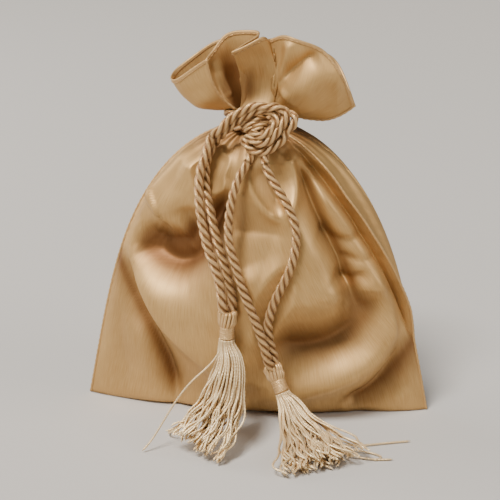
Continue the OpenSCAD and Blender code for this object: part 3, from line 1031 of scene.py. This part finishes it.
def make_sheet(name, front, nodes):
    grid = sheet_grid(front)
    values = cloth_coordinates(grid, front)
    # The third value is the painted shade that the satin darkens by
    values[..., 2] = painted_cloth_shade(grid, front)
    piece = to_object(name, grid.reshape(-1, 3), grid_faces(*grid.shape[:2]), SATIN,
                      "cloth", values.reshape(-1, 3))
    thick = piece.modifiers.new("thickness", "SOLIDIFY")
    thick.thickness = CLOTH_T * MM
    thick.offset = -1
    apply_modifiers(piece)
    bend_at_neck(piece)
    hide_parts(*nodes)
    return grid


front_grid = make_sheet("front_cloth", True, ["front_panel", "front_frill", "drawstring_casing"])
back_grid = make_sheet("back_cloth", False, ["back_panel", "back_frill"])

# ---------------------------------------------------------------- hems and seams


def make_hem(name, grid, node):
    """The folded edge of the mouth: a narrow band on both faces, with a rolled lip."""
    rows = grid[-HEM_ROWS - 1:]
    across = np.gradient(rows, axis=1)
    along = np.gradient(rows, axis=0)
    normal = np.cross(across, along)
    normal /= np.linalg.norm(normal, axis=2)[..., None] + 1e-9
    outer, inner = rows + normal * HEM_LIFT, rows - normal * (CLOTH_T + HEM_LIFT)
    lip = rows[-1] + along[-1] / (np.linalg.norm(along[-1], axis=1)[:, None] + 1e-9) * 0.3
    section = np.concatenate([outer, (lip - normal[-1] * CLOTH_T / 2)[None], inner[::-1]])
    rings = section.transpose(1, 0, 2)
    values = np.zeros_like(rings)
    values[..., 0] = np.linspace(0, 1, rings.shape[1])[None] * 6
    values[..., 1] = chord_keys(rows[-1])[:, None]
    soup = Soup()
    soup.add_rings(rings, values)
    piece = soup.object(name, HEM, "satin", "cloth")
    bend_at_neck(piece)
    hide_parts(node)


STITCH_PITCH = 2.6
STITCH_LONG = 1.7
STITCH_R = 0.13


def make_stitches(name, line, normals):
    """Small straight stitches along a line, proud of the cloth."""
    fine = even(line, 0.3)
    keys = chord_keys(fine)
    source = chord_keys(line)
    lean = np.stack([np.interp(keys, source, normals[:, k]) for k in range(3)], axis=1)
    soup = Soup()
    at = 1.0
    while at + STITCH_LONG < keys[-1]:
        t = np.linspace(at, at + STITCH_LONG, 6)
        path = np.stack([np.interp(t, keys, fine[:, k]) for k in range(3)], axis=1)
        out = np.stack([np.interp(t, keys, lean[:, k]) for k in range(3)], axis=1)
        rise = np.sin(np.linspace(0, math.pi, 6))[:, None]
        soup.tube(path + out * (0.05 + 0.14 * rise), STITCH_R, 6)
        at += STITCH_PITCH
    piece = soup.object(name, BINDING, "thread")
    bend_at_neck(piece)


def edge_normals(grid, row):
    """The ways out of the cloth along one of its rows."""
    across, along = np.gradient(grid, axis=1), np.gradient(grid, axis=0)
    normal = np.cross(across, along)[row]
    return normal / (np.linalg.norm(normal, axis=1)[:, None] + 1e-9)


make_hem("front_hem", front_grid, "front_mouth_hem")
make_hem("back_hem", back_grid, "back_mouth_hem")
for side_name, side_grid in (("front", front_grid), ("back", back_grid)):
    outwards = edge_normals(side_grid, -HEM_ROWS)
    make_stitches(side_name + "_hem_stitches", side_grid[-HEM_ROWS] + HEM_LIFT * outwards, outwards)


def make_side_seam(name, column, node):
    """The two cloth edges turned in and sewn, as a narrow welt along the seam."""
    path = even(column[FLOOR_ROWS:], 0.8)
    along = chord_keys(path)
    soup = Soup()
    soup.tube(path, 0.62 + 0.1 * np.sin(along * TAU / 2.6), 10)
    # The lighter hem satin is a painted highlight along the welt's ridge
    piece = soup.object(name, HEM, "satin", "cloth")
    bend_at_neck(piece)
    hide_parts(node)


make_side_seam("left_seam_welt", front_grid[:, 0], "left_side_seam")
make_side_seam("right_seam_welt", front_grid[:, -1], "right_side_seam")


def make_bottom_seam():
    """The welt that the sack stands on, as wide as the CAD's."""
    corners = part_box("bottom_seam")
    half = corners[1][0] / MM
    x = np.linspace(-half, half, 120)
    path = np.column_stack([x, 0.1 * np.sin(x / 3), np.full(len(x), 0.75)])
    soup = Soup()
    soup.tube(path, 0.7, 10)
    piece = soup.object("bottom_seam_welt", SATIN, "satin", "cloth")
    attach(piece, "sack")
    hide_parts("bottom_seam")


make_bottom_seam()

# ---------------------------------------------------------------- floor and light


def make_stage():
    """A plain pale floor just under the sack."""
    pale = Nodes("floor_pale", (0.52, 0.5, 0.475), 0.75)
    bpy.ops.mesh.primitive_plane_add(size=1)
    floor = bpy.context.object
    floor.name = "floor"
    floor.scale = (8, 8, 1)
    floor.location = (0, 0, -0.0002)
    floor.data.materials.append(pale.material)


LIT_POINT = (0, 0, 0.08)


def aim(light, at):
    light.location = at
    light.rotation_euler = (Vector(LIT_POINT) - Vector(at)).to_track_quat("-Z", "Y").to_euler()


def make_light_source(name, kind, at, energy, colour, size):
    data = bpy.data.lights.new(name, kind)
    data.energy = energy
    data.color = colour
    if kind == "SUN":
        data.angle = math.radians(size)
    else:
        data.size = size
    light = bpy.data.objects.new(name, data)
    bpy.context.scene.collection.objects.link(light)
    aim(light, at)


def make_light():
    world = bpy.data.worlds.new("studio")
    bpy.context.scene.world = world
    world.use_nodes = True
    background = world.node_tree.nodes["Background"]
    background.inputs["Color"].default_value = (0.93, 0.9, 0.87, 1)
    background.inputs["Strength"].default_value = 0.08
    make_light_source("key", "SUN", (-0.26, -0.42, 0.95), 4.8, (1, 0.96, 0.9), 20)
    make_light_source("front", "AREA", (-0.55, -0.9, 0.5), 1.6, (1, 0.95, 0.88), 0.4)
    make_light_source("side", "AREA", (0.75, -0.25, 0.5), 2.5, (1, 0.96, 0.92), 0.35)
    make_light_source("left", "AREA", (-0.95, 0.3, 0.55), 7.0, (1, 0.97, 0.93), 0.8)


make_stage()
make_light()
